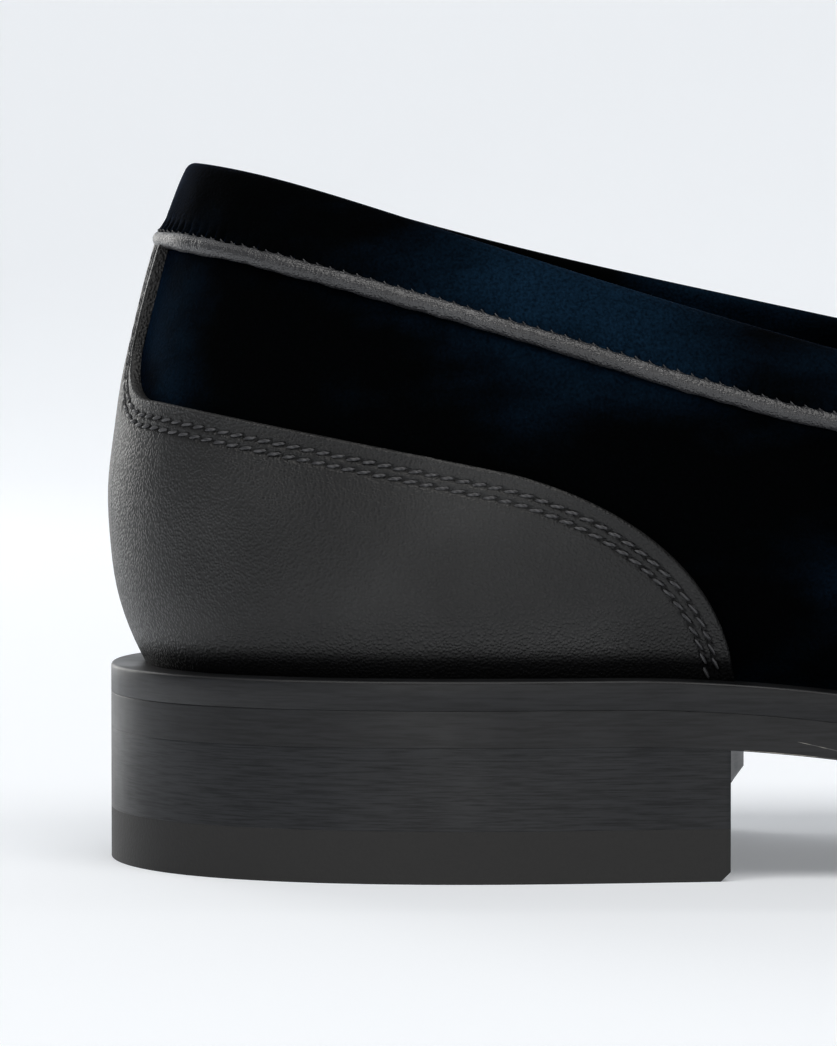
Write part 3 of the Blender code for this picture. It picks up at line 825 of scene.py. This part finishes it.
def makeCounter():
    columns = []
    for side in (-1, 1):
        edge = evenly(counterEdges[side], counter["columnStep"])
        stripAway = abs(edge[0, 0] - backStation)
        away = np.abs(edge[:, 0] - backStation)
        lower = edge[(away > stripAway + 0.004) & (edge[:, 1] < edge[0, 1] - 0.02)]
        top = backStation + side * np.linspace(0, stripAway, counter["stripRows"])
        underPiping = vBelowTopline(top, shoulderDepth - counter["tucked"])[:, 0]
        strip = np.stack([top, underPiping], 1)
        run = np.concatenate([strip, lower])
        columns.append(run[::-1] if side < 0 else run[1:])
    columns = np.concatenate(columns)
    stations, tops = columns[:, 0], columns[:, 1]
    clear = np.linspace(0, 0.3, 120)
    low = onLast(stations[:, None], clear, last["gap"])
    above = low[:, :, 2] - weltTop(low[:, :, 0]) - 0.12 * mm
    feet = np.array([np.interp(0, line, clear) for line in above])
    feet = np.minimum(feet, tops - 1e-4)
    reach = np.linalg.norm(lastPoint(stations, tops) - lastPoint(stations, feet), axis=1)
    rimShare = np.clip(counter["rimDepth"] / reach, 0, 0.6)[:, None]
    face = (1 - rimShare) * np.linspace(0, 1, counter["faceRows"], endpoint=False)
    rim = 1 - rimShare * np.linspace(1, 0, counter["rimRows"]) ** 1.2
    v = feet[:, None] + (tops - feet)[:, None] * np.concatenate([face, rim], 1)
    places = lastPoint(stations[:, None], v)
    normals = lastNormal(stations[:, None], v)
    edges = np.concatenate([lastPoint(line[:, 0], line[:, 1]) for line in counterEdges.values()])
    holes = np.concatenate([points[::2] for line, points in stitchLines()])
    pricked = hump(distances(treeOf(holes), places), stitching["hole"])
    height, size, seed = counter["unevenness"]
    out = last["gap"] + leatherFace(distances(treeOf(edges), places))
    out += height * unevenness(places, size, seed) - stitching["holeDepth"] * pricked
    outer = places + out[..., None] * normals
    kept = np.linspace(0, v.shape[1] - 1, counter["backRows"]).astype(int)
    inner = (places + 0.5 * last["gap"] * normals)[:, kept][:, ::-1]
    bm = curvedSheet(closeRing(np.concatenate([outer, inner], 1)))
    bmesh.ops.holes_fill(bm, edges=[e for e in bm.edges if e.is_boundary], sides=0)
    piece = finishPiece("counter_leather", bm, calf, "counter")
    # Painted shade: the stitch holes and a band just above the welt, in the crease, are darkened
    # and lose their shine.
    crease = (outer[:, :, 2] - weltTop(outer[:, :, 0])) / counter["crease"]
    inCrease = 1 - smoothStep((crease - 0.45) / 0.55)
    paintedShade = np.maximum(pricked, 0.72 * inCrease).reshape(-1)
    spots = treeOf((outer + move).reshape(-1, 3))
    shade = piece.data.attributes.new("paintedShade", "FLOAT", "POINT")
    shade.data.foreach_set("value", [paintedShade[spots.find(v.co)[1]] for v in piece.data.vertices])


def makeStitches():
    bm = bmesh.new()
    for line, places in stitchLines():
        outs = lastNormal(line[:, 0], line[:, 1])
        alongs = unit(np.gradient(places, axis=0))
        places = places + (counter["thickness"] - stitching["sunk"]) * outs
        for place, along, out in zip(places[1::2], alongs[1::2], outs[1::2]):
            across = np.cross(out, along)
            along = unit(along + stitching["slant"] * across)
            axes = (along, np.cross(out, along), out)
            addStitch(bm, place, axes, stitching["half"], sides=8, rings=6)
    finishPiece("counter_stitches", bm, thread)


makeCounter()
makeStitches()


# Welt, outsole, insole and heel

weltEdge = {"columns": 900, "round": 0.40 * mm, "closes": 0.01 * mm, "groove": 0.06 * mm}
outsole = {"rim": 0.05 * mm, "stations": 460, "strip": 5 * mm}
insole = {"rim": 0.9 * mm, "stations": 300}
# Pale lines of painted highlight on the waist's edge.
edgeLine = {  # each run: from x to x, height above the sole's underside, and its slope
    "runs": ((73.5 * mm, 130 * mm, 0.10 * mm, 0), (79.6 * mm, 92 * mm, 1.6 * mm, -0.12)),
    "radius": 0.065 * mm, "sides": 6, "steps": 60,
}
heel = {
    "seam": 0.004 * mm, "rim": 0.015 * mm, "hollow": 1.2 * mm, "cornerLead": 5.2 * mm,
    "cornerHeight": 7.9 * mm, "breastDepth": 5 * mm, "liftRim": 0.02 * mm, "chamfer": 1.1 * mm,
    "columns": 220, "cutsAcross": 12, "breastCuts": (9, 7, 5, 4, 3, 2, 1),  # in mm from its front
}


def makeWelt():
    stations = np.linspace(0, stationCount, weltEdge["columns"])
    thick, r = last["weltThickness"], weltEdge["round"]
    corner = np.radians(np.linspace(90, 0, 6))
    reach = last["weltReach"]
    upperSide = [(reach - r + r * math.cos(a), thick - r + r * math.sin(a)) for a in corner]
    inner, foot = -last["weltSeat"], weltEdge["closes"] - last["gap"]
    lowerSide = [(reach, foot + weltEdge["groove"]), (reach - weltEdge["groove"], foot)]
    profile = [(inner, thick), (0, thick), (reach * 0.5, thick)] + upperSide + lowerSide
    profile += [(reach * 0.5, foot), (inner, foot)]
    rings = []
    for out, up in profile:
        plan = planOffset(stations, out)
        height = outsoleTop(plan[:, 0]) + last["gap"] + up
        rings.append(np.concatenate([plan, height[:, None]], 1))
    section = np.stack(rings, 1)
    finishPiece("welt_strip", curvedSheet(closeRing(section)), soleLeather, "welt")


def soleStrips():
    return np.arange(outsole["strip"], last["soleLength"], outsole["strip"])


def makeOutsole():
    ring = np.linspace(0, stationCount, outsole["stations"], endpoint=False)
    outline = planOffset(ring, last["weltReach"])
    bm = flatSlab(outline, last["outsoleThickness"], outsole["rim"], soleStrips())
    for vert in bm.verts:
        vert.co.z += soleBottom(vert.co.x)
    finishPiece("outsole_leather", bm, soleLeather, "outsole")


def makeInsole():
    ring = np.linspace(0, stationCount, insole["stations"], endpoint=False)
    outline = planOffset(ring, -last["weltSeat"] - last["gap"])
    thickness = last["weltThickness"] + last["insoleRise"]
    bm = flatSlab(outline, thickness, insole["rim"], soleStrips())
    for vert in bm.verts:
        vert.co.z += outsoleTop(vert.co.x) + last["gap"]
    finishPiece("insole_sock", bm, liningCalf, "insole")


def makeEdgeLines():  # painted highlights: pale lines on the waist's lower edge and along the cut of the sole's stitch channel
    bm = bmesh.new()
    turn = np.linspace(0, 2 * math.pi, edgeLine["sides"], endpoint=False)
    for side in (-1, 1):
        fine = backStation + side * np.linspace(2, 7, 3000)
        plan = planOffset(fine, last["weltReach"])
        for start, end, rise, slope in edgeLine["runs"]:
            x = np.linspace(start, end, edgeLine["steps"])
            y = np.interp(x, plan[:, 0], plan[:, 1])
            up = soleBottom(x) + rise + slope * (x - start)
            taper = edgeLine["radius"] * np.sin(np.linspace(0.02, math.pi - 0.02, len(x))) ** 0.3
            rings = []
            for k in range(len(x)):
                around = np.stack([0 * turn, np.cos(turn), np.sin(turn)], 1) * taper[k]
                rings.append([bm.verts.new(place) for place in around + (x[k], y[k], up[k])])
            for one, other in zip(rings, rings[1:]):
                for k in range(len(turn)):
                    after = (k + 1) % len(turn)
                    bm.faces.new((one[k], one[after], other[after], other[k]))
            bm.faces.new(rings[0])
            bm.faces.new(rings[-1])
    finishPiece("waist_highlight_lines", bm, edgeHighlight)


def heelOutline():
    fine = planOffset(np.linspace(backStation - 5, backStation + 5, 900), last["weltReach"])
    kept = fine[fine[:, 0] < last["heelLength"] - 0.2 * mm]
    middle = len(fine) // 2
    outer, inner = [
        np.interp(last["heelLength"], half[:, 0], half[:, 1])
        for half in (fine[:middle][::-1], fine[middle:])
    ]
    walked = walkedAlong(kept)
    stops = np.linspace(0, walked[-1], heel["columns"])
    kept = np.stack([np.interp(stops, walked, kept[:, k]) for k in (0, 1)], 1)
    return [(last["heelLength"], outer), *kept, (last["heelLength"], inner)], outer, inner


def shapeBreast(bm, outer, inner, lead):  # hollows the heel's front and draws its far corner on
    for vert in bm.verts:
        near = (vert.co.x - last["heelLength"]) / heel["breastDepth"] + 1
        weight = float(smoothStep(near))
        across = min(max((vert.co.y - outer) / (inner - outer), 0), 1)
        hollow = heel["hollow"] * 4 * across * (1 - across)
        vert.co.x += weight * (lead(vert.co.z, across) - hollow)


def cornerLead(z, across):  # the far corner reaches on: not at the floor, fully at its height
    return heel["cornerLead"] * min(z / heel["cornerHeight"], 1) * across**2


def makeHeel():
    outline, outer, inner = heelOutline()
    cutsY = np.linspace(outer, inner, heel["cutsAcross"] + 2)[1:-1]
    cutsX = last["heelLength"] - np.array(heel["breastCuts"]) * mm
    bottom, top = last["liftThickness"] + heel["seam"], last["heelRise"] - heel["seam"]
    corner = heel["cornerHeight"] - bottom
    bm = flatSlab(outline, top - bottom, heel["rim"], cutsX, cutsY, [corner])
    bmesh.ops.translate(bm, verts=bm.verts, vec=(0, 0, bottom))
    shapeBreast(bm, outer, inner, cornerLead)
    for vert in bm.verts:
        if vert.co.x > last["archStart"] * last["soleLength"]:
            share = max(0, (vert.co.z - bottom) / (top - bottom))
            vert.co.z -= (last["heelRise"] - float(soleBottom(vert.co.x))) * share
    finishPiece("heel_stack", bm, stackLeather, "heel_block")

    chamfer = heel["chamfer"]
    bm = flatSlab(outline, last["liftThickness"], heel["liftRim"], cutsX, cutsY, [chamfer])
    shapeBreast(bm, outer, inner, lambda z, across: cornerLead(z, across) + min(0, z - chamfer))
    finishPiece("top_lift_rubber", bm, rubber, "top_lift")


makeWelt()
makeOutsole()
makeInsole()
makeEdgeLines()
makeHeel()


# Studio: a pale sweep, soft lights, and a long lens close to the heel

studio = {
    "floor": "#eceff3", "glow": 0.25, "world": "#edf0f4", "worldStrength": 0.24,
    "lens": 185.9, "camera": (-0.11232, -0.63994, 0.0671), "pitch": -2.476,
}


def makeFloor():
    reach, front, back, bend, height = 2.4, -1.0, 1.0, 0.9, 3.0
    angles = np.radians(np.linspace(-90, 0, 14))
    profile = [(front, 0.0), (0.4, 0.0), (back, 0.0)]
    profile += [(back + bend * math.cos(a), bend + bend * math.sin(a)) for a in angles[1:]]
    profile += [(back + bend, height)]
    places = np.array([[(x, y, z) for y, z in profile] for x in np.linspace(-reach, reach, 7)])
    bm = curvedSheet(places)
    bmesh.ops.reverse_faces(bm, faces=[f for f in bm.faces if f.normal.z < 0])
    mesh = bpy.data.meshes.new("floor_sweep")
    bm.to_mesh(mesh)
    bm.free()
    mesh.shade_smooth()
    material, tree, shader = startMaterial("matt paper sweep")
    # Painted light: the sweep glows evenly as well as taking light, so it stays pale, the shadows
    # on it stay light, and it lights the shoe a little from below.
    wire(tree, shader, {
        "Base Color": linear(studio["floor"]), "Roughness": 0.9,
        "Emission Color": linear(studio["floor"]), "Emission Strength": studio["glow"],
    })
    mesh.materials.append(material)
    floor = bpy.data.objects.new("floor_sweep", mesh)
    bpy.context.scene.collection.objects.link(floor)


def addLight(name, place, target, size, power, colour):
    data = bpy.data.lights.new(name, "AREA")
    data.shape = "RECTANGLE"
    data.size, data.size_y = size
    data.energy = power
    data.color = linear(colour)[:3]
    light = bpy.data.objects.new(name, data)
    light.location = place
    light.rotation_euler = (Vector(target) - Vector(place)).to_track_quat("-Z", "Y").to_euler()
    bpy.context.scene.collection.objects.link(light)


def makeStudio():
    makeFloor()
    target = (-0.09, 0, 0.03)
    addLight("front softbox", (-0.1, -0.60, 1.25), target, (1.8, 0.8), 12.9, "#fffdfa")
    addLight("front window", (-0.15, -1.7, 0.2), target, (1.0, 0.4), 3.0, "#fffdf8")
    addLight("left strip", (-0.75, 0.95, 0.3), target, (0.4, 0.6), 2.6, "#fffdf8")
    addLight("backdrop light", (0, 0.7, 1.5), (0, 2.0, 0.2), (3.0, 0.5), 9, "#fffdfa")
    world = bpy.data.worlds.new("studio air")
    world.use_nodes = True
    background = world.node_tree.nodes["Background"]
    air = {"Color": linear(studio["world"]), "Strength": studio["worldStrength"]}
    wire(world.node_tree, background, air)
    scene = bpy.context.scene
    scene.world = world
    scene.view_settings.view_transform = "Standard"
    data = bpy.data.cameras.new("camera")
    data.lens = studio["lens"]
    data.sensor_width = 36
    camera = bpy.data.objects.new("camera", data)
    camera.location = studio["camera"]
    camera.rotation_euler = (math.radians(90 + studio["pitch"]), 0, 0)
    scene.collection.objects.link(camera)
    scene.camera = camera


makeStudio()
print("studio made")
